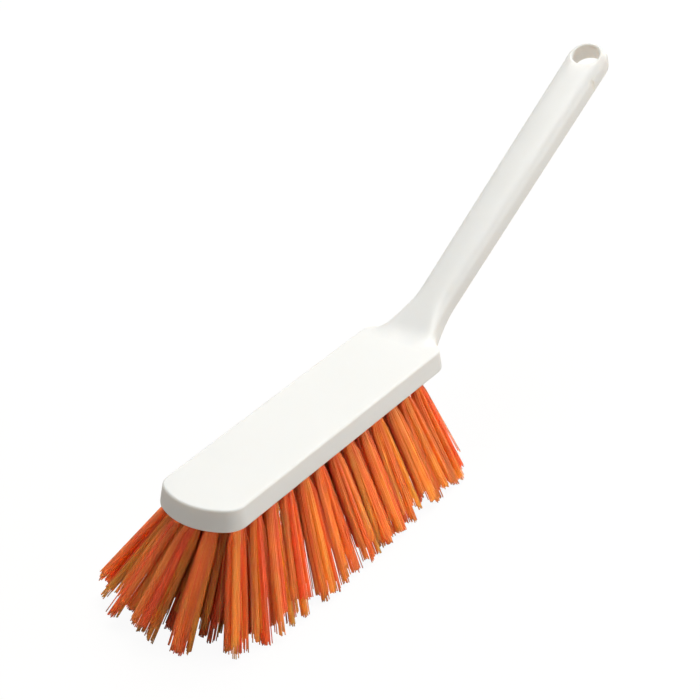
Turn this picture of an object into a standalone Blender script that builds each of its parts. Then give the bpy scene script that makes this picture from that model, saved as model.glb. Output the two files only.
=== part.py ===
"""Hand broom: a one-piece moulded stock with a handle and a hanging eye, and bristle tufts.

The stock is one plastic moulding: a flat block with a rounded nose, a neck that rises out
of its rear end, and a long handle that ends in a round hanging eye. Its underside has a
blind hole for each tuft, drilled at the angle at which the tuft leans. A flat wire anchor
lies across each hole near its bottom, with both ends in the wall, and the tuft's filaments
are folded round it. The tufts fan out over the nose and lean outwards along both sides.

Lengths are in metres and angles in radians, unless a name says otherwise. The block is laid
out from its nose, with +X towards the handle, +Y to the left and its underside at z = 0.
An empty then carries everything to the part's origin, the middle of its box at the tips.
"""
import math
import random

import bmesh
import bpy
from mathutils import Matrix, Vector

# The block
BLOCK_LENGTH = 0.2128
BLOCK_WIDTH_FRONT = 0.0500
BLOCK_WIDTH_REAR = 0.0520
BLOCK_THICKNESS = 0.0134
NOSE_RADIUS = 0.0360
NOSE_CORNER_RADIUS = 0.0120
REAR_CORNER_RADIUS = 0.0095
SIDE_DRAFT = 0.0022
TOP_EDGE_RADIUS = 0.0012
BOTTOM_EDGE_RADIUS = 0.0028

# The neck and the handle
NECK_SETBACK = 0.0133
NECK_FILLET_RADIUS = 0.0400
NECK_ROOT_WIDTH = 0.0400
NECK_FLARE_LENGTH = 0.0400
NECK_FLARE_POWER = 1.8
NECK_OVERLAP = 0.0200
NECK_SINK = 0.0003
NECK_RISE_FROM_UNDERSIDE = 0.0009
HANDLE_ANGLE = math.radians(26.5)
HANDLE_LENGTH = 0.2310
HANDLE_WIDTH_AT_NECK = 0.0216
HANDLE_WIDTH_AT_EYE = 0.0268
HANDLE_THICKNESS = 0.0180
HANDLE_SQUARENESS = 3.2
NECK_SQUARENESS = 8.0
EYE_DIAMETER = 0.0170
NOTCH_SETBACK = 0.0180
NOTCH_DIAMETER = 0.0040
NOTCH_DEPTH = 0.0014

# The tuft holes and their anchors
ROW_PITCH = 0.0095
ROW_COUNTS = {
    "outer_left": 13,
    "inner_left": 11,
    "middle": 11,
    "inner_right": 11,
    "outer_right": 13,
}
FIRST_HOLE_INSET = 0.0090
REAR_HOLE_INSET = 0.0238
SHORT_ROW_INSET = 0.0065
HOLE_DIAMETER = 0.0065
HOLE_DEPTH = 0.0095
ANCHOR_THICKNESS = 0.0006
ANCHOR_HEIGHT = 0.0020
ANCHOR_ABOVE_BOTTOM = 0.0015
ANCHOR_BITE = 0.0006

# The tufts
TUFT_CLEARANCE = 0.0003
TUFT_HEIGHT = 0.0646
TUFT_MAX_LENGTH = 0.0736
PLUG_STANDOUT = 0.0012
STRANDS_ROUND = 6
STRAND_RADIUS = 0.00082
STRAND_RING_RADIUS = 0.00178
SPLAY_RATIO = 1.55
NOSE_SPLAY_RATIO = 2.1
TIP_JITTER = 0.0004
TIP_SHORTFALL = 0.0070
SHORTFALL_POWER = 1.5
FLAT_TRIM = 0.0005
SIDE_LEAN = math.radians(23.0)
FRONT_LEAN = math.radians(30.0)
FRONT_LEAN_AT_SIDES = math.radians(20.0)
REAR_LEAN = math.radians(9.5)
FRONT_FAN_LENGTH = 0.0550
FRONT_FADE_LENGTH = 0.0500
REAR_FADE_LENGTH = 0.0650
NOSE_SET = math.radians(13.0)
NOSE_SET_LENGTH = 0.0400
SEED = 7

# How finely round things are faceted
NOSE_STEPS = 10
CORNER_STEPS = 6
EDGE_STEPS = 3
SECTION_STEPS = 10
END_STEPS = 10
EYE_SIDES = 28
HOLE_SIDES = 12
PLUG_SIDES = 8
NOTCH_SIDES = 12
STRAND_SIDES = 3
FILLET_STEPS = 5
FLARE_STEPS = 3
GRIP_STEPS = 4
SMOOTH_ANGLE = math.radians(32.0)
SAME_HEIGHT = 1e-6


def clear_scene():
    for thing in list(bpy.data.objects):
        bpy.data.objects.remove(thing, do_unlink=True)


def plastic(name, colour, roughness):
    """A Principled material of one colour."""
    material = bpy.data.materials.new(name)
    material.use_nodes = True
    shader = material.node_tree.nodes["Principled BSDF"]
    shader.inputs["Base Color"].default_value = (*colour, 1.0)
    shader.inputs["Roughness"].default_value = roughness
    shader.inputs["Metallic"].default_value = 0.0
    material.diffuse_color = (*colour, 1.0)
    return material


def add_object(name, mesh_data, material=None):
    """An object that holds a bmesh, which is freed."""
    bmesh.ops.recalc_face_normals(mesh_data, faces=mesh_data.faces)
    mesh = bpy.data.meshes.new(name)
    mesh_data.to_mesh(mesh)
    mesh_data.free()
    thing = bpy.data.objects.new(name, mesh)
    bpy.context.scene.collection.objects.link(thing)
    if material:
        mesh.materials.append(material)
    return thing


def combine(target, tool, operation):
    """Apply a Boolean of the tool to the target, and remove the tool."""
    boolean = target.modifiers.new(operation.lower(), "BOOLEAN")
    boolean.operation = operation
    boolean.solver = "EXACT"
    boolean.object = tool
    bpy.context.view_layer.update()
    evaluated = target.evaluated_get(bpy.context.evaluated_depsgraph_get())
    result = bpy.data.meshes.new_from_object(evaluated)
    target.modifiers.clear()
    old = target.data
    target.data = result
    bpy.data.meshes.remove(old)
    bpy.data.objects.remove(tool, do_unlink=True)


def add_prism(mesh_data, sides, radius, low, high, frame, turn=0.0):
    """A closed prism round the frame's z axis, from low to high along it."""
    rings = []
    for height in (low, high):
        ring = []
        for k in range(sides):
            angle = turn + 2 * math.pi * k / sides
            corner = Vector((radius * math.cos(angle), radius * math.sin(angle), height))
            ring.append(mesh_data.verts.new(frame @ corner))
        rings.append(ring)
    bottom, top = rings
    mesh_data.faces.new(reversed(bottom))
    mesh_data.faces.new(top)
    for k in range(sides):
        j = (k + 1) % sides
        mesh_data.faces.new((bottom[k], bottom[j], top[j], top[k]))


def add_box(mesh_data, size, centre, frame):
    """A box of the given size, square to the frame."""
    place = frame @ Matrix.Translation(centre) @ Matrix.Diagonal((*size, 1.0))
    bmesh.ops.create_cube(mesh_data, size=1.0, matrix=place)


def arc(centre, radius, start, end, steps):
    """Points along an arc, both ends included."""
    points = []
    for k in range(steps + 1):
        angle = start + (end - start) * k / steps
        x = centre[0] + radius * math.cos(angle)
        y = centre[1] + radius * math.sin(angle)
        points.append((x, y))
    return points


def block_outline(grow):
    """The block's outline from above, from the middle of its nose round by the left side.

    grow moves the whole outline outwards.
    """
    nose = NOSE_RADIUS + grow
    nose_centre = NOSE_RADIUS
    corner = NOSE_CORNER_RADIUS + grow
    half_front = BLOCK_WIDTH_FRONT / 2 + grow
    half_rear = BLOCK_WIDTH_REAR / 2 + grow
    corner_y = half_front - corner
    corner_x = nose_centre - math.sqrt((nose - corner) ** 2 - corner_y**2)
    meeting = math.atan2(corner_y, corner_x - nose_centre)
    left = arc((nose_centre, 0.0), nose, math.pi, meeting, NOSE_STEPS // 2)[:-1]
    left += arc((corner_x, corner_y), corner, meeting, math.pi / 2, CORNER_STEPS)
    rear = REAR_CORNER_RADIUS + grow
    rear_centre = (BLOCK_LENGTH + grow - rear, half_rear - rear)
    left += arc(rear_centre, rear, math.pi / 2, 0.0, CORNER_STEPS)
    right = [(x, -y) for x, y in reversed(left[1:])]
    return left + right


def make_block():
    """The flat block: two outlines bridged, with its top and bottom edges rounded."""
    mesh_data = bmesh.new()
    loops = []
    for grow, height in ((SIDE_DRAFT, 0.0), (0.0, BLOCK_THICKNESS)):
        loops.append([mesh_data.verts.new((x, y, height)) for x, y in block_outline(grow)])
    bottom, top = loops
    mesh_data.faces.new(bottom)
    mesh_data.faces.new(reversed(top))
    count = len(top)
    for k in range(count):
        j = (k + 1) % count
        mesh_data.faces.new((bottom[k], top[k], top[j], bottom[j]))
    for height, radius in ((BLOCK_THICKNESS, TOP_EDGE_RADIUS), (0.0, BOTTOM_EDGE_RADIUS)):
        rim = []
        for edge in mesh_data.edges:
            if all(abs(vertex.co.z - height) < SAME_HEIGHT for vertex in edge.verts):
                rim.append(edge)
        bmesh.ops.bevel(
            mesh_data, geom=rim, offset=radius, offset_type="OFFSET",
            segments=EDGE_STEPS, profile=0.5, affect="EDGES", clamp_overlap=True,
        )
    return add_object("stock_and_handle", mesh_data)


def smooth_step(value):
    value = min(max(value, 0.0), 1.0)
    return value * value * (3 - 2 * value)


NECK_START = BLOCK_LENGTH - NECK_SETBACK
FILLET_ARC = NECK_FILLET_RADIUS * HANDLE_ANGLE
EYE_STATION = FILLET_ARC + HANDLE_LENGTH


def spine(station):
    """The top line's place and slope at a station, its distance past the neck's start."""
    if station <= 0.0:
        return Vector((NECK_START + station, 0.0, BLOCK_THICKNESS)), 0.0
    slope = min(station / NECK_FILLET_RADIUS, HANDLE_ANGLE)
    x = NECK_START + NECK_FILLET_RADIUS * math.sin(slope)
    z = BLOCK_THICKNESS + NECK_FILLET_RADIUS * (1 - math.cos(slope))
    beyond = max(station - FILLET_ARC, 0.0)
    along = Vector((math.cos(slope), 0.0, math.sin(slope)))
    return Vector((x, 0.0, z)) + beyond * along, slope


def half_width(station):
    """Half the neck's or the handle's width at a station."""
    share = min(max((station - FILLET_ARC) / HANDLE_LENGTH, 0.0), 1.0)
    straight = HANDLE_WIDTH_AT_NECK + (HANDLE_WIDTH_AT_EYE - HANDLE_WIDTH_AT_NECK) * share
    flare_start = NECK_SETBACK / 2
    run = min(max((station - flare_start) / NECK_FLARE_LENGTH, 0.0), 1.0)
    flare = (NECK_ROOT_WIDTH - HANDLE_WIDTH_AT_NECK) * (1 - run) ** NECK_FLARE_POWER
    return (straight + flare) / 2


def section_frame(station):
    """Axes of a cross-section: x along the handle, y to the left, z out of its top."""
    place, slope = spine(station)
    turn = Matrix.Rotation(-slope, 4, "Y")
    return Matrix.Translation(place) @ turn


def section_half(station):
    """The left half of a cross-section, as (y, z) from its top to its bottom."""
    growth = smooth_step((station - NECK_SETBACK / 2) / NECK_FLARE_LENGTH)
    root = BLOCK_THICKNESS - NECK_RISE_FROM_UNDERSIDE
    sink = NECK_SINK * min(max(1 - station / (NECK_SETBACK / 2), 0.0), 1.0)
    low = root + (HANDLE_THICKNESS - root) * growth
    power = 2 / (NECK_SQUARENESS + (HANDLE_SQUARENESS - NECK_SQUARENESS) * growth)
    middle = -(low + sink) / 2
    half_height = (low - sink) / 2
    half = []
    for k in range(SECTION_STEPS + 1):
        angle = math.pi * k / SECTION_STEPS
        across = abs(math.sin(angle)) ** power
        up = math.copysign(abs(math.cos(angle)) ** power, math.cos(angle))
        if k in (0, SECTION_STEPS):
            across = 0.0
        half.append((half_width(station) * across, middle + half_height * up))
    return half


def make_handle():
    """The neck and the handle: cross-sections joined along the spine, with a round end."""
    mesh_data = bmesh.new()
    fillet = [FILLET_ARC * k / FILLET_STEPS for k in range(FILLET_STEPS + 1)]
    flare_end = NECK_SETBACK / 2 + NECK_FLARE_LENGTH
    flare = []
    for k in range(1, FLARE_STEPS + 1):
        flare.append(FILLET_ARC + (flare_end - FILLET_ARC) * k / FLARE_STEPS)
    grip = []
    for k in range(1, GRIP_STEPS + 1):
        grip.append(flare_end + (EYE_STATION - flare_end) * k / GRIP_STEPS)
    stations = [-NECK_OVERLAP, -NECK_OVERLAP / 2] + fillet + flare + grip
    loops = []
    for station in stations:
        half = section_half(station)
        frame = section_frame(station)
        left = [mesh_data.verts.new(frame @ Vector((0.0, y, z))) for y, z in half]
        right = [mesh_data.verts.new(frame @ Vector((0.0, -y, z))) for y, z in half[1:-1]]
        loops.append((left, [left[0]] + right + [left[-1]]))
    first_left, first_right = loops[0]
    mesh_data.faces.new(first_left + first_right[-2:0:-1])
    for (left, right), (next_left, next_right) in zip(loops, loops[1:]):
        for near, far in ((left, next_left), (right, next_right)):
            for k in range(SECTION_STEPS):
                mesh_data.faces.new((near[k], near[k + 1], far[k + 1], far[k]))
    # The round end: the last section's half, turned about the eye's axis
    frame = section_frame(EYE_STATION)
    half = section_half(EYE_STATION)
    last_left, last_right = loops[-1]
    ring = last_left
    for step in range(1, END_STEPS + 1):
        angle = math.pi * step / END_STEPS
        if step == END_STEPS:
            next_ring = last_right
        else:
            next_ring = [last_left[0]]
            for y, z in half[1:-1]:
                turned = Vector((y * math.sin(angle), y * math.cos(angle), z))
                next_ring.append(mesh_data.verts.new(frame @ turned))
            next_ring.append(last_left[-1])
        for k in range(SECTION_STEPS):
            corners = [ring[k], ring[k + 1], next_ring[k + 1], next_ring[k]]
            mesh_data.faces.new(list(dict.fromkeys(corners)))
        ring = next_ring
    return add_object("handle", mesh_data)


def make_eye_cutter():
    mesh_data = bmesh.new()
    frame = section_frame(EYE_STATION)
    add_prism(
        mesh_data, EYE_SIDES, EYE_DIAMETER / 2, -2 * HANDLE_THICKNESS, HANDLE_THICKNESS, frame
    )
    return add_object("eye_cutter", mesh_data)


def make_notch_cutter():
    """A small groove across the handle's right side, just before the eye."""
    mesh_data = bmesh.new()
    station = EYE_STATION - NOTCH_SETBACK
    side = -(half_width(station) + NOTCH_DIAMETER / 2 - NOTCH_DEPTH)
    frame = section_frame(station) @ Matrix.Translation((0.0, side, 0.0))
    add_prism(
        mesh_data, NOTCH_SIDES, NOTCH_DIAMETER / 2, -2 * HANDLE_THICKNESS, HANDLE_THICKNESS, frame
    )
    return add_object("notch_cutter", mesh_data)


class TuftPlace:
    """Where one tuft sits: its name, its hole's frame, its lean and how it splays."""

    def __init__(self, name, x, y):
        self.name = name
        outer = (len(ROW_COUNTS) - 1) / 2 * ROW_PITCH
        front_share = smooth_step(1 - (x - FRONT_FAN_LENGTH) / FRONT_FADE_LENGTH)
        rear_share = smooth_step(1 - (BLOCK_LENGTH - REAR_HOLE_INSET - x) / REAR_FADE_LENGTH)
        nose_share = max(1 - (x - FIRST_HOLE_INSET) / NOSE_SET_LENGTH, 0.0)
        aside = y / outer
        front_lean = FRONT_LEAN + (FRONT_LEAN_AT_SIDES - FRONT_LEAN) * aside**2
        lean_x = REAR_LEAN * rear_share - front_lean * front_share
        lean_y = SIDE_LEAN * aside + NOSE_SET * nose_share
        axis = Vector((math.tan(lean_x), math.tan(lean_y), -1.0)).normalized()
        # The frame's z axis points out of the hole, and its x axis lies along the row
        row_axis = Vector((1.0, 0.0, 0.0))
        row_axis = (row_axis - row_axis.dot(axis) * axis).normalized()
        cross_axis = axis.cross(row_axis)
        turn = Matrix((row_axis, cross_axis, axis)).transposed().to_4x4()
        self.frame = Matrix.Translation((x, y, 0.0)) @ turn
        self.axis = axis
        self.splay = SPLAY_RATIO + (NOSE_SPLAY_RATIO - SPLAY_RATIO) * nose_share


def tuft_places():
    """Every tuft, row by row from left to right and from the nose to the rear."""
    places = []
    middle_row = (len(ROW_COUNTS) - 1) / 2
    longest = max(ROW_COUNTS.values())
    nose_arc = NOSE_RADIUS - FIRST_HOLE_INSET
    for row, (row_name, count) in enumerate(ROW_COUNTS.items()):
        y = (middle_row - row) * ROW_PITCH
        start = NOSE_RADIUS - math.sqrt(nose_arc**2 - y**2)
        end = BLOCK_LENGTH - REAR_HOLE_INSET
        if count < longest:
            end -= SHORT_ROW_INSET
        for k in range(count):
            x = start + (end - start) * k / (count - 1)
            places.append(TuftPlace(f"tuft_{row_name}_{k + 1:02d}", x, y))
    return places


def make_hole_cutter(places):
    """All the tuft holes in one tool, less the anchors that cross them."""
    holes = bmesh.new()
    anchors = bmesh.new()
    anchor_size = (HOLE_DIAMETER + 2 * ANCHOR_BITE, ANCHOR_THICKNESS, ANCHOR_HEIGHT)
    anchor_height = -HOLE_DEPTH + ANCHOR_ABOVE_BOTTOM + ANCHOR_HEIGHT / 2
    for place in places:
        add_prism(holes, HOLE_SIDES, HOLE_DIAMETER / 2, -HOLE_DEPTH, HOLE_DEPTH / 2, place.frame)
        add_box(anchors, anchor_size, (0.0, 0.0, anchor_height), place.frame)
    cutter = add_object("hole_cutter", holes)
    combine(cutter, add_object("anchors", anchors), "DIFFERENCE")
    return cutter


def strand_corners(frame, foot, tip, low, high, turn):
    """The corners at both ends of a strand, square to the hole's axis."""
    ends = []
    for (x, y), height in ((foot, low), (tip, high)):
        ring = []
        for k in range(STRAND_SIDES):
            angle = turn + 2 * math.pi * k / STRAND_SIDES
            corner = (
                x + STRAND_RADIUS * math.cos(angle),
                y + STRAND_RADIUS * math.sin(angle),
                height,
            )
            ring.append(frame @ Vector(corner))
        ends.append(ring)
    return ends


def make_tuft(place, chance, material):
    """A tuft: strands fused to the plug of folded filament that fills its hole."""
    plug_radius = HOLE_DIAMETER / 2 * math.cos(math.pi / HOLE_SIDES) - TUFT_CLEARANCE
    plug_low = -HOLE_DEPTH + TUFT_CLEARANCE
    plug_turn = math.pi / PLUG_SIDES
    plug = bmesh.new()
    add_prism(plug, PLUG_SIDES, plug_radius, plug_low, PLUG_STANDOUT, place.frame, plug_turn)
    tuft = add_object(place.name, plug, material)

    slot_size = (
        2 * HOLE_DIAMETER,
        ANCHOR_THICKNESS + 2 * TUFT_CLEARANCE,
        ANCHOR_HEIGHT + 2 * TUFT_CLEARANCE,
    )
    slot_height = -HOLE_DEPTH + ANCHOR_ABOVE_BOTTOM + ANCHOR_HEIGHT / 2
    slot = bmesh.new()
    add_box(slot, slot_size, (0.0, 0.0, slot_height), place.frame)
    combine(tuft, add_object("slot_cutter", slot), "DIFFERENCE")

    floor = -TUFT_HEIGHT
    strands = bmesh.new()
    low = PLUG_STANDOUT - STRAND_RING_RADIUS
    full_length = min((TUFT_HEIGHT + FLAT_TRIM) / -place.axis.z, TUFT_MAX_LENGTH)
    ring_turn = chance.uniform(0.0, math.pi)
    longest = chance.randrange(STRANDS_ROUND)
    for k in range(STRANDS_ROUND + 1):
        angle = ring_turn + 2 * math.pi * k / STRANDS_ROUND
        radius = STRAND_RING_RADIUS if k < STRANDS_ROUND else 0.0
        foot = Vector((radius * math.cos(angle), radius * math.sin(angle)))
        wander = Vector((chance.uniform(-1, 1), chance.uniform(-1, 1))) * TIP_JITTER
        shortfall = 0.0 if k == longest else TIP_SHORTFALL * chance.random() ** SHORTFALL_POWER
        high = full_length - shortfall
        tip = foot * place.splay + wander
        turn = chance.uniform(0.0, 2 * math.pi / STRAND_SIDES)
        ends = strand_corners(place.frame, foot, tip, low, high, turn)
        # A strand that would stand below the floor is cut flat there
        lowest = min(corner.z for corner in ends[1])
        if lowest < floor:
            for j, (start, end) in enumerate(zip(*ends)):
                share = (floor - start.z) / (end.z - start.z)
                ends[1][j] = start.lerp(end, share)
        bottom = [strands.verts.new(corner) for corner in ends[0]]
        top = [strands.verts.new(corner) for corner in ends[1]]
        strands.faces.new(reversed(bottom))
        strands.faces.new(top)
        for j in range(STRAND_SIDES):
            i = (j + 1) % STRAND_SIDES
            strands.faces.new((bottom[j], bottom[i], top[i], top[j]))
    combine(tuft, add_object("strands", strands), "UNION")
    return tuft


def place_origin(parts):
    """An empty that brings the middle of the part's box, at its tips, to the origin."""
    corners = [part.matrix_world @ vertex.co for part in parts for vertex in part.data.vertices]
    low = [min(corner[k] for corner in corners) for k in range(3)]
    high = [max(corner[k] for corner in corners) for k in range(3)]
    carrier = bpy.data.objects.new("hand_broom", None)
    carrier.location = (-(low[0] + high[0]) / 2, -(low[1] + high[1]) / 2, -low[2])
    bpy.context.scene.collection.objects.link(carrier)
    for part in parts:
        part.parent = carrier
    return carrier


def report(carrier, parts):
    """Print where the record's mounts and openings lie."""
    shift = carrier.location
    top_middle = Vector(((NECK_START + NOSE_RADIUS / 2) / 2, 0.0, BLOCK_THICKNESS)) + shift
    top = section_frame(EYE_STATION).translation + shift
    bottom = section_frame(EYE_STATION) @ Vector((0.0, 0.0, -HANDLE_THICKNESS)) + shift
    print("block top face, middle", [round(value, 5) for value in top_middle])
    print("eye centre, top", [round(value, 5) for value in top])
    print("eye centre, bottom", [round(value, 5) for value in bottom])
    print("parts", len(parts))


def main():
    clear_scene()
    chance = random.Random(SEED)
    white = plastic("white_plastic", (0.86, 0.85, 0.82), 0.35)
    orange = plastic("orange_bristle", (0.80, 0.21, 0.04), 0.45)

    stock = make_block()
    combine(stock, make_handle(), "UNION")
    combine(stock, make_eye_cutter(), "DIFFERENCE")
    combine(stock, make_notch_cutter(), "DIFFERENCE")
    places = tuft_places()
    combine(stock, make_hole_cutter(places), "DIFFERENCE")
    stock.data.materials.clear()
    stock.data.materials.append(white)
    stock.data.shade_smooth()
    stock.data.set_sharp_from_angle(angle=SMOOTH_ANGLE)

    parts = [stock]
    for place in places:
        parts.append(make_tuft(place, chance, orange))
    bpy.context.view_layer.update()
    carrier = place_origin(parts)
    report(carrier, parts)


main()
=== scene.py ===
import math
import random

import bmesh
import bpy
from mathutils import Matrix, Vector


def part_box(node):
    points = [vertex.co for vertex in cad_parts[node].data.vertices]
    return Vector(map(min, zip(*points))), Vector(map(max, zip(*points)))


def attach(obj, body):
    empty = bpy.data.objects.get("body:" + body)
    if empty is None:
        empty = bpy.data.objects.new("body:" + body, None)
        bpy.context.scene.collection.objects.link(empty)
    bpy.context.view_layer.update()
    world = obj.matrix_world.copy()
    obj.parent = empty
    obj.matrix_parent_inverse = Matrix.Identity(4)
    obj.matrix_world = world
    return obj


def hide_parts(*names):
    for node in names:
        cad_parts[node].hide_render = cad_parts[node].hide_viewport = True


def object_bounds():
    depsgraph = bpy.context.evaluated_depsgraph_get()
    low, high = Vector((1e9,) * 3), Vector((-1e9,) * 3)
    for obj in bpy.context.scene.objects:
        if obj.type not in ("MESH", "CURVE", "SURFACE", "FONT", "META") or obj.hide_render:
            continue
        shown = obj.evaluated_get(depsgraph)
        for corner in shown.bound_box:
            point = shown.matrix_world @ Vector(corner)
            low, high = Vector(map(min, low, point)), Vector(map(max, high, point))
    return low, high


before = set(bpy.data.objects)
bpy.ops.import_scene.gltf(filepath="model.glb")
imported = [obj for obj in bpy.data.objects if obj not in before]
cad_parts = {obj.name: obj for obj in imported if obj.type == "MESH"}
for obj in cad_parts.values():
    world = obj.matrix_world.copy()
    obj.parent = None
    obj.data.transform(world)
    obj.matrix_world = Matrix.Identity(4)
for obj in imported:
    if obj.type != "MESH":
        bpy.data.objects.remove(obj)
cad_low, cad_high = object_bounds()


# The block of the stock
# The whole stock is one injection moulding in white plastic. Its block is a flat slab with a shallow arc
# across the nose, rounded corners, softened edges and walls that lean in a little for the mould.
BLOCK_LENGTH = 0.2128
BLOCK_WIDTH_FRONT = 0.0500
BLOCK_WIDTH_REAR = 0.0520
BLOCK_THICKNESS = 0.0134
NOSE_RADIUS = 0.0360
NOSE_CORNER_RADIUS = 0.0120
REAR_CORNER_RADIUS = 0.0095
SIDE_DRAFT = 0.0022
TOP_EDGE_RADIUS = 0.0012
BOTTOM_EDGE_RADIUS = 0.0028
NOSE_STEPS = 14
CORNER_STEPS = 14
TOP_EDGE_STEPS = 6
BOTTOM_EDGE_STEPS = 4
SAME_PLACE = 1e-5

# The slanted wall is widest just above its rounded bottom edge
wall_stand_out = SIDE_DRAFT * (1 - BOTTOM_EDGE_RADIUS / BLOCK_THICKNESS)
stock_low, stock_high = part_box("stock_and_handle")
nose = Vector((stock_low.x + wall_stand_out, (stock_low.y + stock_high.y) / 2, stock_low.z))
to_nose = Matrix.Translation(nose)


def deselect_all():
    """Leave edit mode and select nothing."""
    if bpy.context.object and bpy.context.object.mode == "EDIT":
        bpy.ops.object.mode_set(mode="OBJECT")
    bpy.ops.object.select_all(action="DESELECT")


def select_only(piece):
    """Leave edit mode and select one piece."""
    deselect_all()
    piece.select_set(True)
    bpy.context.view_layer.objects.active = piece


def edit(piece):
    """Open a piece alone in edit mode, with nothing selected in it."""
    select_only(piece)
    bpy.ops.object.mode_set(mode="EDIT")
    bpy.ops.mesh.select_all(action="DESELECT")


def select_edges(piece, wanted):
    """Select the edges whose two ends both satisfy a test of their place."""
    bpy.ops.mesh.select_all(action="DESELECT")
    bpy.ops.mesh.select_mode(type="EDGE")
    data = bmesh.from_edit_mesh(piece.data)
    for edge in data.edges:
        edge.select_set(all(wanted(corner.co) for corner in edge.verts))
    bmesh.update_edit_mesh(piece.data)


def apply_modifier(piece, kind, **settings):
    """Give a piece a modifier with these settings, and apply it."""
    select_only(piece)
    modifier = piece.modifiers.new(kind.lower(), kind)
    for name, value in settings.items():
        setattr(modifier, name, value)
    bpy.ops.object.modifier_apply(modifier=modifier.name)


def cut_or_join(piece, tool, operation):
    """Apply a Boolean of the tool to the piece, and remove the tool."""
    apply_modifier(piece, "BOOLEAN", operation=operation, solver="EXACT", object=tool)
    bpy.data.objects.remove(tool, do_unlink=True)


# The left half of the bottom outline is spun and extruded from one point at the tip of the nose
nose_reach = NOSE_RADIUS + SIDE_DRAFT
corner_reach = NOSE_CORNER_RADIUS + SIDE_DRAFT
half_front = BLOCK_WIDTH_FRONT / 2 + SIDE_DRAFT
half_rear = BLOCK_WIDTH_REAR / 2 + SIDE_DRAFT
rear_reach = REAR_CORNER_RADIUS + SIDE_DRAFT
corner_y = half_front - corner_reach
corner_x = NOSE_RADIUS - math.sqrt((nose_reach - corner_reach) ** 2 - corner_y**2)
meeting_angle = math.pi - math.atan2(corner_y, corner_x - NOSE_RADIUS)
rear_corner = Vector((BLOCK_LENGTH + SIDE_DRAFT - rear_reach, half_rear - rear_reach, 0.0))

deselect_all()
bpy.ops.mesh.primitive_plane_add(size=BLOCK_WIDTH_FRONT, location=nose)
stock = bpy.context.object
stock.name = "broom_stock"
bpy.ops.object.transform_apply(location=True, rotation=True, scale=True)
edit(stock)
bpy.ops.mesh.select_all(action="SELECT")
bpy.ops.mesh.merge(type="CENTER")
bpy.ops.transform.translate(value=(-SIDE_DRAFT, 0.0, 0.0))
bpy.ops.mesh.spin(
    steps=NOSE_STEPS, angle=meeting_angle, center=nose + Vector((NOSE_RADIUS, 0.0, 0.0)), axis=(0.0, 0.0, 1.0)
)
bpy.ops.mesh.spin(
    steps=CORNER_STEPS, angle=math.pi / 2 - meeting_angle,
    center=nose + Vector((corner_x, corner_y, 0.0)), axis=(0.0, 0.0, 1.0),
)
bpy.ops.mesh.extrude_region_move(
    TRANSFORM_OT_translate={"value": (rear_corner.x - corner_x, half_rear - half_front, 0.0)}
)
bpy.ops.mesh.spin(steps=CORNER_STEPS, angle=math.pi / 2, center=nose + rear_corner, axis=(0.0, 0.0, 1.0))
bpy.ops.mesh.extrude_region_move(TRANSFORM_OT_translate={"value": (0.0, -rear_corner.y, 0.0)})
# Its mirror image makes the right half, and the face between them is drawn in and lifted to the top
bpy.ops.mesh.select_all(action="SELECT")
bpy.ops.mesh.duplicate()
bpy.ops.transform.resize(value=(1.0, -1.0, 1.0), center_override=nose)
bpy.ops.mesh.select_all(action="SELECT")
bpy.ops.mesh.remove_doubles(threshold=SAME_PLACE)
bpy.ops.mesh.edge_face_add()
bpy.ops.mesh.inset(thickness=SIDE_DRAFT, depth=0.0, use_even_offset=True)
bpy.ops.transform.translate(value=(0.0, 0.0, BLOCK_THICKNESS))
select_edges(stock, lambda place: abs(place.z - nose.z) < SAME_PLACE)
bpy.ops.mesh.edge_face_add()
bpy.ops.mesh.select_all(action="SELECT")
bpy.ops.mesh.normals_make_consistent(inside=False)
for height, radius, steps in (
    (nose.z + BLOCK_THICKNESS, TOP_EDGE_RADIUS, TOP_EDGE_STEPS),
    (nose.z, BOTTOM_EDGE_RADIUS, BOTTOM_EDGE_STEPS),
):
    select_edges(stock, lambda place: abs(place.z - height) < SAME_PLACE)
    bpy.ops.mesh.bevel(offset=radius, segments=steps, profile=0.5, affect="EDGES")


# The neck and the handle of the stock
# Part of the same moulding. The neck rises out of the block's rear end in one hollow curve and narrows into a
# straight handle, an oval bar with flattened faces that widens a little towards its round end.
NECK_SETBACK = 0.0133
NECK_FILLET_RADIUS = 0.0400
NECK_ROOT_WIDTH = 0.0400
NECK_FLARE_LENGTH = 0.0400
NECK_FLARE_POWER = 1.8
NECK_OVERLAP = 0.0200
NECK_SINK = 0.0003
NECK_RISE_FROM_UNDERSIDE = 0.0009
HANDLE_ANGLE = math.radians(26.5)
HANDLE_LENGTH = 0.2310
HANDLE_WIDTH_AT_NECK = 0.0216
HANDLE_WIDTH_AT_EYE = 0.0268
HANDLE_THICKNESS = 0.0180
HANDLE_SQUARENESS = 3.2
NECK_SQUARENESS = 8.0
SECTION_SIDES = 96
OVERLAP_STEPS = 4
FILLET_STEPS = 16
FLARE_STEPS = 16
GRIP_STEPS = 24
END_STEPS = 24
HOLLOW_RADIUS = 0.0170
HOLLOW_FACE = 0.0010
HOLLOW_SINK = 0.00005
HOLLOW_REACH = 0.0340
HOLLOW_SMOOTHING = 0.5
HOLLOW_SWELLED_PASSES = 20
HOLLOW_LAST_PASSES = 12

NECK_START = BLOCK_LENGTH - NECK_SETBACK
FLARE_START = NECK_SETBACK / 2
FILLET_ARC = NECK_FILLET_RADIUS * HANDLE_ANGLE
EYE_STATION = FILLET_ARC + HANDLE_LENGTH


def smooth_step(value):
    """A rise from 0 to 1 that starts and ends level."""
    value = min(max(value, 0.0), 1.0)
    return value * value * (3 - 2 * value)


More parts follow.
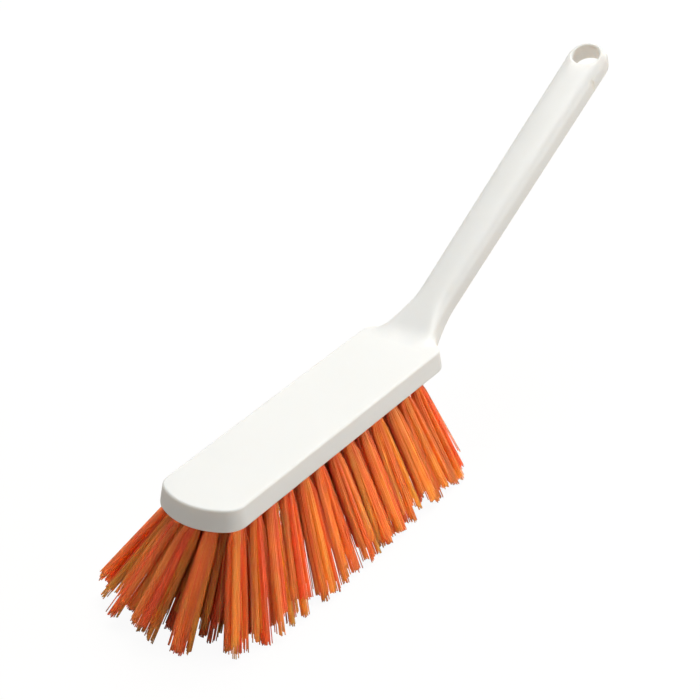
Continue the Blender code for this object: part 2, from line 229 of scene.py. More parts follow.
def section_frame(station):
    """Axes of a cross-section of the handle: x along it, y to the left and z out of its top."""
    slope = min(max(station, 0.0) / NECK_FILLET_RADIUS, HANDLE_ANGLE)
    beyond = max(station - FILLET_ARC, 0.0) + min(station, 0.0)
    place = Vector((
        NECK_START + NECK_FILLET_RADIUS * math.sin(slope) + beyond * math.cos(slope),
        0.0,
        BLOCK_THICKNESS + NECK_FILLET_RADIUS * (1 - math.cos(slope)) + beyond * math.sin(slope),
    ))
    return to_nose @ Matrix.Translation(place) @ Matrix.Rotation(-slope, 4, "Y")


def half_width(station):
    """Half the width of the neck and the handle at a station along them."""
    share = min(max((station - FILLET_ARC) / HANDLE_LENGTH, 0.0), 1.0)
    straight = HANDLE_WIDTH_AT_NECK + (HANDLE_WIDTH_AT_EYE - HANDLE_WIDTH_AT_NECK) * share
    run = min(max((station - FLARE_START) / NECK_FLARE_LENGTH, 0.0), 1.0)
    flare = (NECK_ROOT_WIDTH - HANDLE_WIDTH_AT_NECK) * (1 - run) ** NECK_FLARE_POWER
    return (straight + flare) / 2


def section_shape(station, angle):
    """A point of a cross-section as (y, z), at an angle from its top."""
    growth = smooth_step((station - FLARE_START) / NECK_FLARE_LENGTH)
    root = BLOCK_THICKNESS - NECK_RISE_FROM_UNDERSIDE
    sink = NECK_SINK * min(max(1 - station / FLARE_START, 0.0), 1.0)
    low = root + (HANDLE_THICKNESS - root) * growth
    power = 2 / (NECK_SQUARENESS + (HANDLE_SQUARENESS - NECK_SQUARENESS) * growth)
    across = math.copysign(abs(math.sin(angle)) ** power, math.sin(angle))
    up = math.copysign(abs(math.cos(angle)) ** power, math.cos(angle))
    return half_width(station) * across, -(low + sink) / 2 + (low - sink) / 2 * up


def bridged(rings):
    """Join rings of corners into one closed body, bridged from ring to ring and filled at its ends."""
    deselect_all()
    for ring in rings:
        ring.select_set(True)
    body = rings[0]
    bpy.context.view_layer.objects.active = body
    bpy.ops.object.join()
    bpy.ops.object.transform_apply(location=True, rotation=True, scale=True)
    edit(body)
    bpy.ops.mesh.select_all(action="SELECT")
    bpy.ops.mesh.bridge_edge_loops()
    bpy.ops.mesh.select_all(action="SELECT")
    bpy.ops.mesh.remove_doubles(threshold=SAME_PLACE)
    bpy.ops.mesh.select_all(action="DESELECT")
    bpy.ops.mesh.select_mode(type="EDGE")
    bpy.ops.mesh.select_non_manifold()
    bpy.ops.mesh.fill_holes(sides=0)
    bpy.ops.mesh.select_all(action="SELECT")
    bpy.ops.mesh.normals_make_consistent(inside=False)
    return body


flare_end = FLARE_START + NECK_FLARE_LENGTH
stations = [-NECK_OVERLAP * (1 - k / OVERLAP_STEPS) for k in range(OVERLAP_STEPS)]
stations += [FILLET_ARC * k / FILLET_STEPS for k in range(FILLET_STEPS + 1)]
stations += [FILLET_ARC + (flare_end - FILLET_ARC) * k / FLARE_STEPS for k in range(1, FLARE_STEPS + 1)]
stations += [flare_end + (EYE_STATION - flare_end) * k / GRIP_STEPS for k in range(1, GRIP_STEPS + 1)]
# Past the eye's centre the sections draw in along a circle, which makes the round end
end_turns = [math.pi / 2 * k / END_STEPS for k in range(1, END_STEPS + 1)]

rings = []
for station, turn in [(station, 0.0) for station in stations] + [(EYE_STATION, turn) for turn in end_turns]:
    deselect_all()
    place = section_frame(station)
    bpy.ops.mesh.primitive_circle_add(
        vertices=SECTION_SIDES, radius=HANDLE_WIDTH_AT_EYE / 2, fill_type="NOTHING",
        location=place.translation, rotation=place.to_euler(),
    )
    ring = bpy.context.object
    for k, corner in enumerate(ring.data.vertices):
        y, z = section_shape(station, 2 * math.pi * k / SECTION_SIDES)
        corner.co = (abs(y) * math.sin(turn), y * math.cos(turn), z)
    rings.append(ring)
cut_or_join(stock, bridged(rings), "UNION")


def copied(piece, name):
    """A copy of a piece with a mesh of its own."""
    copy = piece.copy()
    copy.data = piece.data.copy()
    copy.name = name
    bpy.context.scene.collection.objects.link(copy)
    return copy


# The hollow corner where neck and block meet is rounded out as by a ball. A copy of the stock is swelled by
# the ball's radius and shrunk back again, which fills the corner, and its part round the corner is joined on.
hollow = copied(stock, "hollow_corner")
apply_modifier(hollow, "REMESH", mode="VOXEL", voxel_size=HOLLOW_FACE)
apply_modifier(hollow, "DISPLACE", strength=HOLLOW_RADIUS, mid_level=0.0)
apply_modifier(hollow, "REMESH", mode="VOXEL", voxel_size=HOLLOW_FACE)
apply_modifier(hollow, "SMOOTH", factor=HOLLOW_SMOOTHING, iterations=HOLLOW_SWELLED_PASSES)
apply_modifier(hollow, "DISPLACE", strength=-HOLLOW_RADIUS, mid_level=0.0)
apply_modifier(hollow, "REMESH", mode="VOXEL", voxel_size=HOLLOW_FACE)
apply_modifier(hollow, "SMOOTH", factor=HOLLOW_SMOOTHING, iterations=HOLLOW_LAST_PASSES)
apply_modifier(hollow, "DISPLACE", strength=-HOLLOW_SINK, mid_level=0.0)
deselect_all()
bpy.ops.mesh.primitive_cube_add(
    size=2 * HOLLOW_REACH, location=nose + Vector((BLOCK_LENGTH, 0.0, BLOCK_THICKNESS + NECK_SINK))
)
cut_or_join(hollow, bpy.context.object, "INTERSECT")
cut_or_join(stock, hollow, "UNION")


# The hanging eye and the notch
# Both are shaped by the same mould: a round hole through the handle's end for a hook, with softened rims, and
# a small groove across the handle's right edge just before it.
EYE_DIAMETER = 0.0170
EYE_DRAFT = 0.0006
EYE_RIM_RADIUS = 0.0016
EYE_FOOT_RADIUS = 0.0030
EYE_RIM_ARC = math.radians(78.0)
EYE_RIM_STEPS = 6
FLARE_OVERSHOOT = 0.0010
EYE_SIDES = 96
NOTCH_SETBACK = 0.0180
NOTCH_DIAMETER = 0.0040
NOTCH_DEPTH = 0.0014
NOTCH_SIDES = 32
CUTTER_LENGTH = 3 * HANDLE_THICKNESS
LONG_EDGE_SHARE = 0.99

eye_frame = section_frame(EYE_STATION)
notch_station = EYE_STATION - NOTCH_SETBACK
notch_side = -(half_width(notch_station) + NOTCH_DIAMETER / 2 - NOTCH_DEPTH)
notch_centre = section_frame(notch_station) @ Vector((0.0, notch_side, -HANDLE_THICKNESS / 2))


def add_levels(column, cuts):
    """Divide an upright column's long edges, which gives it level rings of corners on the way."""
    edit(column)
    bpy.ops.mesh.select_mode(type="EDGE")
    data = bmesh.from_edit_mesh(column.data)
    longest = max(edge.calc_length() for edge in data.edges)
    for edge in data.edges:
        edge.select_set(edge.calc_length() > LONG_EDGE_SHARE * longest)
    bmesh.update_edit_mesh(column.data)
    bpy.ops.mesh.subdivide(number_cuts=cuts)
    bpy.ops.object.mode_set(mode="OBJECT")


def face_height(radius, side):
    """Height of the handle's face over its middle plane, at a radius and an angle round the eye's centre."""
    across = min(radius * abs(math.sin(side)) / (HANDLE_WIDTH_AT_EYE / 2), 1.0)
    beyond = max(math.cos(side), 0.0) * radius / (HANDLE_WIDTH_AT_EYE / 2)
    share = min(math.hypot(across, beyond), 1.0)
    return HANDLE_THICKNESS / 2 * (1 - share**HANDLE_SQUARENESS) ** (1 / HANDLE_SQUARENESS)


def rim_levels(end, hole_radius, rim_radius):
    """The cutter's rings at one end, each with the hole's radius, the rim's, and its own way out and up."""
    levels = []
    for k in range(EYE_RIM_STEPS + 1):
        arc = EYE_RIM_ARC * k / EYE_RIM_STEPS
        out, up = rim_radius * (1 - math.cos(arc)), -rim_radius * (1 - math.sin(arc))
        levels.append((end, hole_radius, rim_radius, out, up))
    out += FLARE_OVERSHOOT * math.sin(EYE_RIM_ARC)
    up += FLARE_OVERSHOOT * math.cos(EYE_RIM_ARC)
    levels.append((end, hole_radius, rim_radius, out, up))
    levels.append((end, hole_radius, rim_radius, out, HANDLE_THICKNESS / 2))
    return levels


# The eye's cutter is a cylinder that widens a little downwards and flares at both ends to the handle's faces
levels = rim_levels(-1, EYE_DIAMETER / 2 + EYE_DRAFT, EYE_FOOT_RADIUS)[::-1]
levels += rim_levels(1, EYE_DIAMETER / 2, EYE_RIM_RADIUS)

deselect_all()
eye_middle = eye_frame @ Matrix.Translation((0.0, 0.0, -HANDLE_THICKNESS / 2))
bpy.ops.mesh.primitive_cylinder_add(
    vertices=EYE_SIDES, radius=EYE_DIAMETER / 2, depth=CUTTER_LENGTH, location=eye_middle.translation,
    rotation=eye_middle.to_euler(),
)
cutter = bpy.context.object
add_levels(cutter, len(levels) - 2)
spacing = CUTTER_LENGTH / (len(levels) - 1)
for corner in cutter.data.vertices:
    end, hole_radius, rim_radius, out, up = levels[round((corner.co.z + CUTTER_LENGTH / 2) / spacing)]
    side = math.atan2(corner.co.y, corner.co.x)
    radius = hole_radius + out
    height = face_height(hole_radius + rim_radius, side) + up
    corner.co = (radius * math.cos(side), radius * math.sin(side), end * height)
cut_or_join(stock, cutter, "DIFFERENCE")
deselect_all()
bpy.ops.mesh.primitive_cylinder_add(
    vertices=NOTCH_SIDES, radius=NOTCH_DIAMETER / 2, depth=CUTTER_LENGTH, location=notch_centre,
    rotation=eye_frame.to_euler(),
)
cut_or_join(stock, bpy.context.object, "DIFFERENCE")


# The tuft holes and their anchors
# Blind holes in the block's underside, drilled at the lean of their tufts, in five rows of 13 and 11. A flat
# wire lies across each hole near its bottom, with both ends in the wall, and holds the folded bristles.
ROW_PITCH = 0.0095
ROW_COUNTS = {"outer_left": 13, "inner_left": 11, "middle": 11, "inner_right": 11, "outer_right": 13}
FIRST_HOLE_INSET = 0.0090
REAR_HOLE_INSET = 0.0238
SHORT_ROW_INSET = 0.0065
HOLE_DIAMETER = 0.0065
HOLE_DEPTH = 0.0095
HOLE_SIDES = 24
HOLE_RIM_ANGLE = math.radians(50.0)
DRILL_LENGTH = 3 * HOLE_DEPTH / 2
DRILL_MIDDLE = -HOLE_DEPTH / 4
ANCHOR_THICKNESS = 0.0006
ANCHOR_HEIGHT = 0.0020
ANCHOR_ABOVE_BOTTOM = 0.0015
ANCHOR_BITE = 0.0006
SIDE_LEAN = math.radians(23.0)
FRONT_LEAN = math.radians(30.0)
FRONT_LEAN_AT_SIDES = math.radians(20.0)
REAR_LEAN = math.radians(9.5)
FRONT_FAN_LENGTH = 0.0550
FRONT_FADE_LENGTH = 0.0500
REAR_FADE_LENGTH = 0.0650
NOSE_SET = math.radians(13.0)
NOSE_SET_LENGTH = 0.0400


def hole_place(x, y):
    """A hole's frame, its z axis pointing out of the hole, and how near the nose it is from 0 to 1."""
    front_share = smooth_step(1 - (x - FRONT_FAN_LENGTH) / FRONT_FADE_LENGTH)
    rear_share = smooth_step(1 - (BLOCK_LENGTH - REAR_HOLE_INSET - x) / REAR_FADE_LENGTH)
    nose_share = max(1 - (x - FIRST_HOLE_INSET) / NOSE_SET_LENGTH, 0.0)
    aside = y / ((len(ROW_COUNTS) - 1) / 2 * ROW_PITCH)
    front_lean = FRONT_LEAN + (FRONT_LEAN_AT_SIDES - FRONT_LEAN) * aside**2
    lean_x = REAR_LEAN * rear_share - front_lean * front_share
    lean_y = SIDE_LEAN * aside + NOSE_SET * nose_share
    axis = Vector((math.tan(lean_x), math.tan(lean_y), -1.0)).normalized()
    row_axis = Vector((1.0, 0.0, 0.0))
    row_axis = (row_axis - row_axis.dot(axis) * axis).normalized()
    turn = Matrix((row_axis, axis.cross(row_axis), axis)).transposed().to_4x4()
    return to_nose @ Matrix.Translation((x, y, 0.0)) @ turn, nose_share


holes = {}
for row, (row_name, count) in enumerate(ROW_COUNTS.items()):
    y = ((len(ROW_COUNTS) - 1) / 2 - row) * ROW_PITCH
    start = NOSE_RADIUS - math.sqrt((NOSE_RADIUS - FIRST_HOLE_INSET) ** 2 - y**2)
    end = BLOCK_LENGTH - REAR_HOLE_INSET
    if count < max(ROW_COUNTS.values()):
        end -= SHORT_ROW_INSET
    for k in range(count):
        holes[f"{row_name}_{k + 1:02d}"] = hole_place(start + (end - start) * k / (count - 1), y)


def copied_to(model, places, name):
    """One object that holds a copy of a model's mesh at each place, and the model is removed."""
    data = bmesh.new()
    for place in places:
        copy = model.data.copy()
        copy.transform(place)
        data.from_mesh(copy)
        bpy.data.meshes.remove(copy)
    mesh = bpy.data.meshes.new(name)
    data.to_mesh(mesh)
    data.free()
    copies = bpy.data.objects.new(name, mesh)
    bpy.context.scene.collection.objects.link(copies)
    bpy.data.objects.remove(model, do_unlink=True)
    return copies


places = [place for place, nose_share in holes.values()]
deselect_all()
bpy.ops.mesh.primitive_cylinder_add(
    vertices=HOLE_SIDES, radius=HOLE_DIAMETER / 2, depth=DRILL_LENGTH, location=(0.0, 0.0, DRILL_MIDDLE)
)
bpy.ops.object.transform_apply(location=True, rotation=True, scale=True)
drill = copied_to(bpy.context.object, places, "drill")
deselect_all()
bpy.ops.mesh.primitive_cube_add(
    size=1.0, location=(0.0, 0.0, -HOLE_DEPTH + ANCHOR_ABOVE_BOTTOM + ANCHOR_HEIGHT / 2),
    scale=(HOLE_DIAMETER + 2 * ANCHOR_BITE, ANCHOR_THICKNESS, ANCHOR_HEIGHT),
)
bpy.ops.object.transform_apply(location=True, rotation=True, scale=True)
cut_or_join(drill, copied_to(bpy.context.object, places, "anchors"), "DIFFERENCE")
cut_or_join(stock, drill, "DIFFERENCE")
# Shaded smooth but for the rims of the holes, with the block's flat faces kept flat up to their rounded edges
select_only(stock)
bpy.ops.object.shade_smooth_by_angle(angle=HOLE_RIM_ANGLE)
block = stock.vertex_groups.new(name="block")
top = nose.z + BLOCK_THICKNESS + SAME_PLACE
block.add([corner.index for corner in stock.data.vertices if corner.co.z < top], 1.0, "REPLACE")
apply_modifier(stock, "WEIGHTED_NORMAL", mode="FACE_AREA", keep_sharp=True, vertex_group="block")
stock.vertex_groups.clear()


# The finish of the stock
# White plastic with a soft gloss, as it leaves a polished mould: barely clouded in colour, with a very fine
# ripple in its skin and slightly duller patches where it is handled.
STOCK_WHITE = (0.89, 0.887, 0.85, 1.0)
STOCK_CLOUD = (0.875, 0.872, 0.83, 1.0)


def new_material(name):
    """A new material with its node tree and its shader."""
    material = bpy.data.materials.new(name)
    material.use_nodes = True
    return material, material.node_tree, material.node_tree.nodes["Principled BSDF"]


def add_node(tree, kind, **values):
    """A node whose inputs are set by name, and its own settings too."""
    node = tree.nodes.new(kind)
    for name, value in values.items():
        if hasattr(node, name):
            setattr(node, name, value)
        else:
            node.inputs[name.replace("_", " ")].default_value = value
    return node


white_plastic, tree, shader = new_material("white_plastic")
shader.subsurface_method = "BURLEY"
shader.inputs["Specular IOR Level"].default_value = 0.4
shader.inputs["Subsurface Weight"].default_value = 0.6
shader.inputs["Subsurface Radius"].default_value = (1.0, 0.70, 0.45)
shader.inputs["Subsurface Scale"].default_value = 0.006
place_on_stock = add_node(tree, "ShaderNodeTexCoord")
clouds = add_node(tree, "ShaderNodeTexNoise", Scale=18.0, Detail=1.0, Roughness=0.4)
colour = add_node(tree, "ShaderNodeMix", data_type="RGBA")
colour.inputs["A"].default_value = STOCK_WHITE
colour.inputs["B"].default_value = STOCK_CLOUD
cloud_range = add_node(tree, "ShaderNodeMapRange", From_Min=0.2, From_Max=0.8)
handled = add_node(tree, "ShaderNodeTexNoise", Scale=45.0, Detail=1.0, Roughness=0.4)
gloss_range = add_node(tree, "ShaderNodeMapRange", From_Min=0.2, From_Max=0.8, To_Min=0.36, To_Max=0.44)
skin = add_node(tree, "ShaderNodeTexNoise", Scale=900.0, Detail=2.0)
ripple = add_node(tree, "ShaderNodeBump", Strength=0.06, Distance=0.0004)
for start, end in (
    (place_on_stock.outputs["Object"], clouds.inputs["Vector"]),
    (place_on_stock.outputs["Object"], handled.inputs["Vector"]),
    (place_on_stock.outputs["Object"], skin.inputs["Vector"]),
    (clouds.outputs["Fac"], cloud_range.inputs["Value"]),
    (cloud_range.outputs["Result"], colour.inputs["Factor"]),
    (colour.outputs["Result"], shader.inputs["Base Color"]),
    (handled.outputs["Fac"], gloss_range.inputs["Value"]),
    (gloss_range.outputs["Result"], shader.inputs["Roughness"]),
    (skin.outputs["Fac"], ripple.inputs["Height"]),
    (ripple.outputs["Normal"], shader.inputs["Normal"]),
):
    tree.links.new(start, end)
stock.data.materials.clear()
stock.data.materials.append(white_plastic)
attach(stock, "root")
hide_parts("stock_and_handle")


# The bristle tufts
# Each is a bundle of stiff orange filaments, drawn and cut to length, folded over its anchor wire and driven
# into its hole, so it stands out as two half bundles whose filaments splay a little and end unevenly.
BRISTLE_DEEP = (0.67, 0.120, 0.052, 1.0)
BRISTLE_MIDDLE = (0.68, 0.203, 0.058, 1.0)
BRISTLE_LIGHT = (0.70, 0.335, 0.066, 1.0)
TUFT_HEIGHT = 0.0646
TUFT_MAX_LENGTH = 0.0736
FLAT_TRIM = 0.0005
FILAMENTS = 130
FILAMENT_RADIUS = 0.00031
FILAMENT_SIDES = 5
FILAMENT_BENDS = 3
FILAMENT_EDGE_ANGLE = math.radians(75.0)
RING_POWER = 2
TUFT_RADIUS = 0.00285
HALF_GAP = 0.0001
SPLAY_ALONG_ROW = 2.90
SPLAY_ACROSS_ROW = 1.45
NOSE_SPLAY = 2.50
SPLAY_POWER = 0.34
LOCK_CUTS = (-0.5, 0.0, 0.5)
LOCK_CLING = 0.66
CUT_WANDER = 0.12
LOCK_DRIFT = 0.0019
NOSE_DRIFT = 0.0032
TONE_WANDER = 0.07
# Painted shade: a strand's tone falls to this share of its own at the root, where the block shades it
SHADED_ROOT_TONE = 0.45
FILAMENT_WANDER = 0.00025
STRAY_WANDER = 0.0032
STRAY_SHARE = 0.05
BEND = 0.0006
LOCK_SHORTFALL = 0.0120
LOCK_SHORTFALL_POWER = 1.6
FILAMENT_SHORTFALL = 0.0028
FILAMENT_SHORTFALL_POWER = 2
STRAY_SHORTFALL = 0.0120
HEART_RADIUS = 0.00255
HEART_REACH = 0.92
HEART_GAP = 0.0001
HEART_RUNS = (0.3, 0.5, 0.75, 1.0)
HEART_SHORTFALL = 0.0080
FLOOR_CLEARANCE = 0.00005
TRIM_STEP = 0.0005
TRIM_TRIES = 40
GOLDEN_ANGLE = math.pi * (3 - math.sqrt(5))
SEED = 11

chance = random.Random(SEED)

# One filament of unit length, with rings along it where it may bend
deselect_all()
bpy.ops.mesh.primitive_cylinder_add(
    vertices=FILAMENT_SIDES, radius=FILAMENT_RADIUS, depth=1.0, location=(0.0, 0.0, 0.5)
)
filament = bpy.context.object
bpy.ops.object.transform_apply(location=True, rotation=True, scale=True)
add_levels(filament, FILAMENT_BENDS)
filament_corners = [corner.co.copy() for corner in filament.data.vertices]
filament_faces = [tuple(face.vertices) for face in filament.data.polygons]
bpy.data.objects.remove(filament, do_unlink=True)

orange_bristle, tree, shader = new_material("orange_bristle")
shader.inputs["Roughness"].default_value = 0.50
shader.inputs["Specular IOR Level"].default_value = 0.3
shader.subsurface_method = "BURLEY"
shader.inputs["Subsurface Weight"].default_value = 1.0
shader.inputs["Subsurface Radius"].default_value = (1.0, 0.40, 0.20)
shader.inputs["Subsurface Scale"].default_value = 0.012
tone = add_node(tree, "ShaderNodeAttribute", attribute_name="tone")
ramp = add_node(tree, "ShaderNodeValToRGB")
ramp.color_ramp.elements[0].color = BRISTLE_DEEP
ramp.color_ramp.elements[1].color = BRISTLE_LIGHT
ramp.color_ramp.elements.new(0.5).color = BRISTLE_MIDDLE
place_on_tuft = add_node(tree, "ShaderNodeTexCoord")
streaks = add_node(tree, "ShaderNodeTexNoise", Scale=120.0, Detail=3.0)
streak_range = add_node(tree, "ShaderNodeMapRange", From_Min=0.3, From_Max=0.7, To_Min=-0.12, To_Max=0.12)
mixed_tone = add_node(tree, "ShaderNodeMath", operation="ADD")
grain = add_node(tree, "ShaderNodeTexNoise", Scale=2500.0, Detail=2.0)
grain_bump = add_node(tree, "ShaderNodeBump", Strength=0.08, Distance=0.0002)
for start, end in (
    (place_on_tuft.outputs["Object"], streaks.inputs["Vector"]),
    (place_on_tuft.outputs["Object"], grain.inputs["Vector"]),
    (streaks.outputs["Fac"], streak_range.inputs["Value"]),
    (tone.outputs["Fac"], mixed_tone.inputs[0]),
    (streak_range.outputs["Result"], mixed_tone.inputs[1]),
    (mixed_tone.outputs["Value"], ramp.inputs["Fac"]),
    (ramp.outputs["Color"], shader.inputs["Base Color"]),
    (grain.outputs["Fac"], grain_bump.inputs["Height"]),
    (grain_bump.outputs["Normal"], shader.inputs["Normal"]),
):
    tree.links.new(start, end)


def strand_point(place, foot, tip, bend, length, run):
    """A point along a strand, its run 0 at the fold and 1 at the end: straight in its hole, then splayed."""
    height = foot_height + (length - foot_height) * run**RING_POWER
    share = max(height, 0.0) / length
    across = foot + (tip - foot) * share**SPLAY_POWER + bend * share * share
    return place @ Vector((across.x, across.y, height))


def grow_filament(place, foot, tip, bend, length):
    """The corners of one filament, each carried from the unit filament to its place along the strand."""
    turned = place.to_3x3()
    return [
        strand_point(place, foot, tip, bend, length, corner.z) + turned @ Vector((corner.x, corner.y, 0.0))
        for corner in filament_corners
    ]


def splayed(foot, middle, splay):
    """Where a filament would end: its lock is carried outwards whole, and spreads less in itself."""
    spread = middle + (foot - middle) * LOCK_CLING
    return Vector((spread.x * splay.x, spread.y * splay.y))


def grow_heart(place, feet, middle, splay, drift, length):
    """The heart of a lock, where its filaments lie packed: one closed body lofted through four rings."""
    corners = [
        strand_point(place, foot, splayed(foot, middle, splay) + drift, Vector((0.0, 0.0)), length, run)
        for run in HEART_RUNS
        for foot in feet
    ]
    around = len(feet)
    faces = [tuple(reversed(range(around))), tuple(range(len(corners) - around, len(corners)))]
    for ring in range(len(HEART_RUNS) - 1):
        for k in range(around):
            start, end = ring * around + k, ring * around + (k + 1) % around
            faces.append((start, end, end + around, start + around))
    return corners, faces


def heart_feet(left, right, half):
    """Where a lock's heart stands, from left to right in its half of the tuft, in turn round its sides."""
    low, high = left * HEART_RADIUS + HEART_GAP, right * HEART_RADIUS - HEART_GAP
    rim = [(x, math.sqrt(HEART_RADIUS**2 - x**2)) for x in (high, (low + high) / 2, low)]
    feet = [Vector((x, half * y)) for x, y in [(low, HEART_GAP), (high, HEART_GAP)] + rim]
    return feet if half > 0 else feet[::-1]


def shaded_towards_root(tone, run):
    """A strand's tone at a point along it, with painted shade: redder and darker towards its root, under the
    block.
    """
    return tone * (SHADED_ROOT_TONE + (1 - SHADED_ROOT_TONE) * run)


floor_height = nose.z - TUFT_HEIGHT + FLOOR_CLEARANCE
foot_height = -HOLE_DEPTH + ANCHOR_ABOVE_BOTTOM + ANCHOR_HEIGHT + FILAMENT_RADIUS
for name, (place, nose_share) in holes.items():
    axis = place.to_3x3() @ Vector((0.0, 0.0, 1.0))
    full_length = min((TUFT_HEIGHT + FLAT_TRIM) / -axis.z, TUFT_MAX_LENGTH)
    splay = Vector((
        SPLAY_ALONG_ROW + (NOSE_SPLAY - SPLAY_ALONG_ROW) * nose_share,
        SPLAY_ACROSS_ROW + (NOSE_SPLAY - SPLAY_ACROSS_ROW) * nose_share,
    ))
    turn = chance.uniform(0.0, 2 * math.pi)
    # The filaments of each half cling together in a few locks side by side, each with its own tone and length
    cuts = [cut + chance.uniform(-CUT_WANDER, CUT_WANDER) for cut in LOCK_CUTS]
    bounds = [-HEART_REACH] + cuts + [HEART_REACH]
    spans = [(left, right, half) for half in (-1, 1) for left, right in zip(bounds, bounds[1:])]
    lock_tones = [(k + 0.5) / len(spans) for k in range(len(spans))]
    chance.shuffle(lock_tones)
    longest = chance.randrange(len(spans))
    locks = []
    furthest = LOCK_DRIFT + (NOSE_DRIFT - LOCK_DRIFT) * nose_share
    for k in range(len(spans)):
        drift = Vector((chance.uniform(-1, 1), chance.uniform(-1, 1))) * furthest
        shortfall = 0.0 if k == longest else chance.random() ** LOCK_SHORTFALL_POWER * LOCK_SHORTFALL
        left, right, half = spans[k]
        middle = Vector(((left + right) / 2, half / 2)) * TUFT_RADIUS
        locks.append((middle, drift, shortfall, lock_tones[k]))
    corners = []
    faces = []
    tones = []
    for span, (middle, drift, shortfall, lock_tone) in zip(spans, locks):
        feet = heart_feet(*span)
        heart_length = full_length - shortfall - HEART_SHORTFALL
        grown, grown_faces = grow_heart(place, feet, middle, splay, drift, heart_length)
        first = len(corners)
        corners += grown
        faces += [tuple(first + corner for corner in face) for face in grown_faces]
        # Painted shade: each heart's tone is made redder and darker towards its root
        tones += [shaded_towards_root(lock_tone, run) for run in HEART_RUNS for foot in feet]
    for k in range(FILAMENTS):
        radius = TUFT_RADIUS * math.sqrt((k + 0.5) / FILAMENTS)
        foot = Vector((math.cos(turn + k * GOLDEN_ANGLE), math.sin(turn + k * GOLDEN_ANGLE))) * radius
        strip = sum(foot.x > cut * TUFT_RADIUS for cut in cuts) + (len(bounds) - 1) * (foot.y > 0.0)
        middle, drift, shortfall, lock_tone = locks[strip]
        wander = Vector((chance.gauss(0, 1), chance.gauss(0, 1))) * FILAMENT_WANDER
        bend = Vector((chance.gauss(0, 1), chance.gauss(0, 1))) * BEND
        length = full_length - shortfall - chance.random() ** FILAMENT_SHORTFALL_POWER * FILAMENT_SHORTFALL
        if chance.random() < STRAY_SHARE:
            wander = Vector((chance.uniform(-1, 1), chance.uniform(-1, 1))) * STRAY_WANDER
            length -= chance.random() * STRAY_SHORTFALL
        tip = splayed(foot, middle, splay) + drift + wander
        filament_tone = min(max(lock_tone + chance.gauss(0, TONE_WANDER), 0.0), 1.0)
        foot.y += math.copysign(HALF_GAP, foot.y)
        # It is trimmed until it ends over the floor and within the broom's own width and length
        for trim in range(TRIM_TRIES):
            grown = grow_filament(place, foot, tip, bend, length)
            if (
                min(corner.z for corner in grown) > floor_height
                and min(corner.x for corner in grown) > cad_low.x
                and min(corner.y for corner in grown) > cad_low.y
                and max(corner.y for corner in grown) < cad_high.y
            ):
                break
            length -= TRIM_STEP
        first = len(corners)
        corners += grown
        faces += [tuple(first + corner for corner in face) for face in filament_faces]
        # Painted shade: each filament's tone is made redder and darker towards its root
        tones += [shaded_towards_root(filament_tone, corner.z) for corner in filament_corners]
    mesh = bpy.data.meshes.new(f"bristles_{name}")
    mesh.from_pydata(corners, [], faces)
    mesh.attributes.new("tone", "FLOAT", "POINT").data.foreach_set("value", tones)
    mesh.materials.append(orange_bristle)
    mesh.shade_smooth()
    tuft = bpy.data.objects.new(f"bristles_{name}", mesh)
    bpy.context.scene.collection.objects.link(tuft)
    select_only(tuft)
    bpy.ops.object.shade_smooth_by_angle(angle=FILAMENT_EDGE_ANGLE)
    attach(tuft, "root")
    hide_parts(f"tuft_{name}")


# The studio
# A plain pale floor under the bristle tips, a soft lamp high above the handle, a smaller lamp low at the
# right, and the camera at the angle of the photograph. The floor looks nearly white and keeps a faint shadow.
FLOOR_SIZE = 6.0
FLOOR_TINT = (0.55, 0.51, 0.47, 1.0)
FLOOR_ROUGHNESS = 0.9
FLOOR_GLOW = 1.07
FLOOR_GLOW_SHARE = 0.88
WHITE = (1.0, 1.0, 1.0, 1.0)
SKY_STRENGTH = 0.30
LAMP_AIM = Vector((0.0, 0.0, 0.07))
CAMERA_LENS = 101.5
CAMERA_SENSOR = 36.0
CAMERA_FROM_NOSE = (-0.6517, -0.53317, 0.58722)
CAMERA_AZIMUTH = math.radians(-56.42)
CAMERA_ELEVATION = math.radians(29.93)

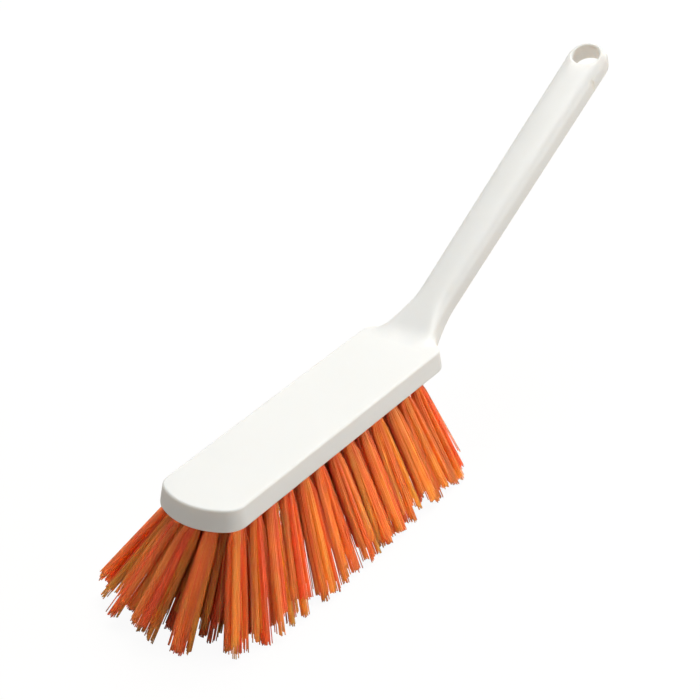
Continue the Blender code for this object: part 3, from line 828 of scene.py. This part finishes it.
deselect_all()
bpy.ops.mesh.primitive_plane_add(size=FLOOR_SIZE, location=(0.0, 0.0, cad_low.z))
floor = bpy.context.object
floor.name = "studio_floor"
bpy.ops.object.transform_apply(location=True, rotation=True, scale=True)
floor_material, tree, shader = new_material("floor")
shader.inputs["Base Color"].default_value = FLOOR_TINT
shader.inputs["Roughness"].default_value = FLOOR_ROUGHNESS
shader.inputs["Specular IOR Level"].default_value = 0.0
glow = add_node(tree, "ShaderNodeEmission", Color=WHITE, Strength=FLOOR_GLOW)
rays = add_node(tree, "ShaderNodeLightPath")
glow_share = add_node(tree, "ShaderNodeMath", operation="MULTIPLY")
glow_share.inputs[1].default_value = FLOOR_GLOW_SHARE
blend = add_node(tree, "ShaderNodeMixShader")
for start, end in (
    (rays.outputs["Is Camera Ray"], glow_share.inputs[0]),
    (glow_share.outputs["Value"], blend.inputs[0]),
    (shader.outputs["BSDF"], blend.inputs[1]),
    (glow.outputs["Emission"], blend.inputs[2]),
    (blend.outputs["Shader"], tree.nodes["Material Output"].inputs["Surface"]),
):
    tree.links.new(start, end)
floor.data.materials.append(floor_material)

world = bpy.data.worlds.new("studio")
bpy.context.scene.world = world
world.use_nodes = True
world.node_tree.nodes["Background"].inputs["Color"].default_value = WHITE
world.node_tree.nodes["Background"].inputs["Strength"].default_value = SKY_STRENGTH


def add_lamp(name, place, size, power):
    """A round soft lamp that points at the broom."""
    lamp = bpy.data.lights.new(name, "AREA")
    lamp.shape = "DISK"
    lamp.size = size
    lamp.energy = power
    holder = bpy.data.objects.new(name, lamp)
    holder.location = place
    holder.rotation_euler = (LAMP_AIM - Vector(place)).to_track_quat("-Z", "Y").to_euler()
    bpy.context.scene.collection.objects.link(holder)


add_lamp("top_lamp", (1.30, 0.35, 2.90), size=2.2, power=90.0)
add_lamp("right_lamp", (0.90, -1.70, 0.45), size=1.0, power=13.0)

camera_data = bpy.data.cameras.new("camera")
camera_data.lens = CAMERA_LENS
camera_data.sensor_width = CAMERA_SENSOR
camera = bpy.data.objects.new("camera", camera_data)
camera.location = nose + Vector(CAMERA_FROM_NOSE)
camera.rotation_euler = (math.pi / 2 - CAMERA_ELEVATION, 0.0, CAMERA_AZIMUTH)
bpy.context.scene.collection.objects.link(camera)
bpy.context.scene.camera = camera
bpy.context.scene.view_settings.view_transform = "Standard"
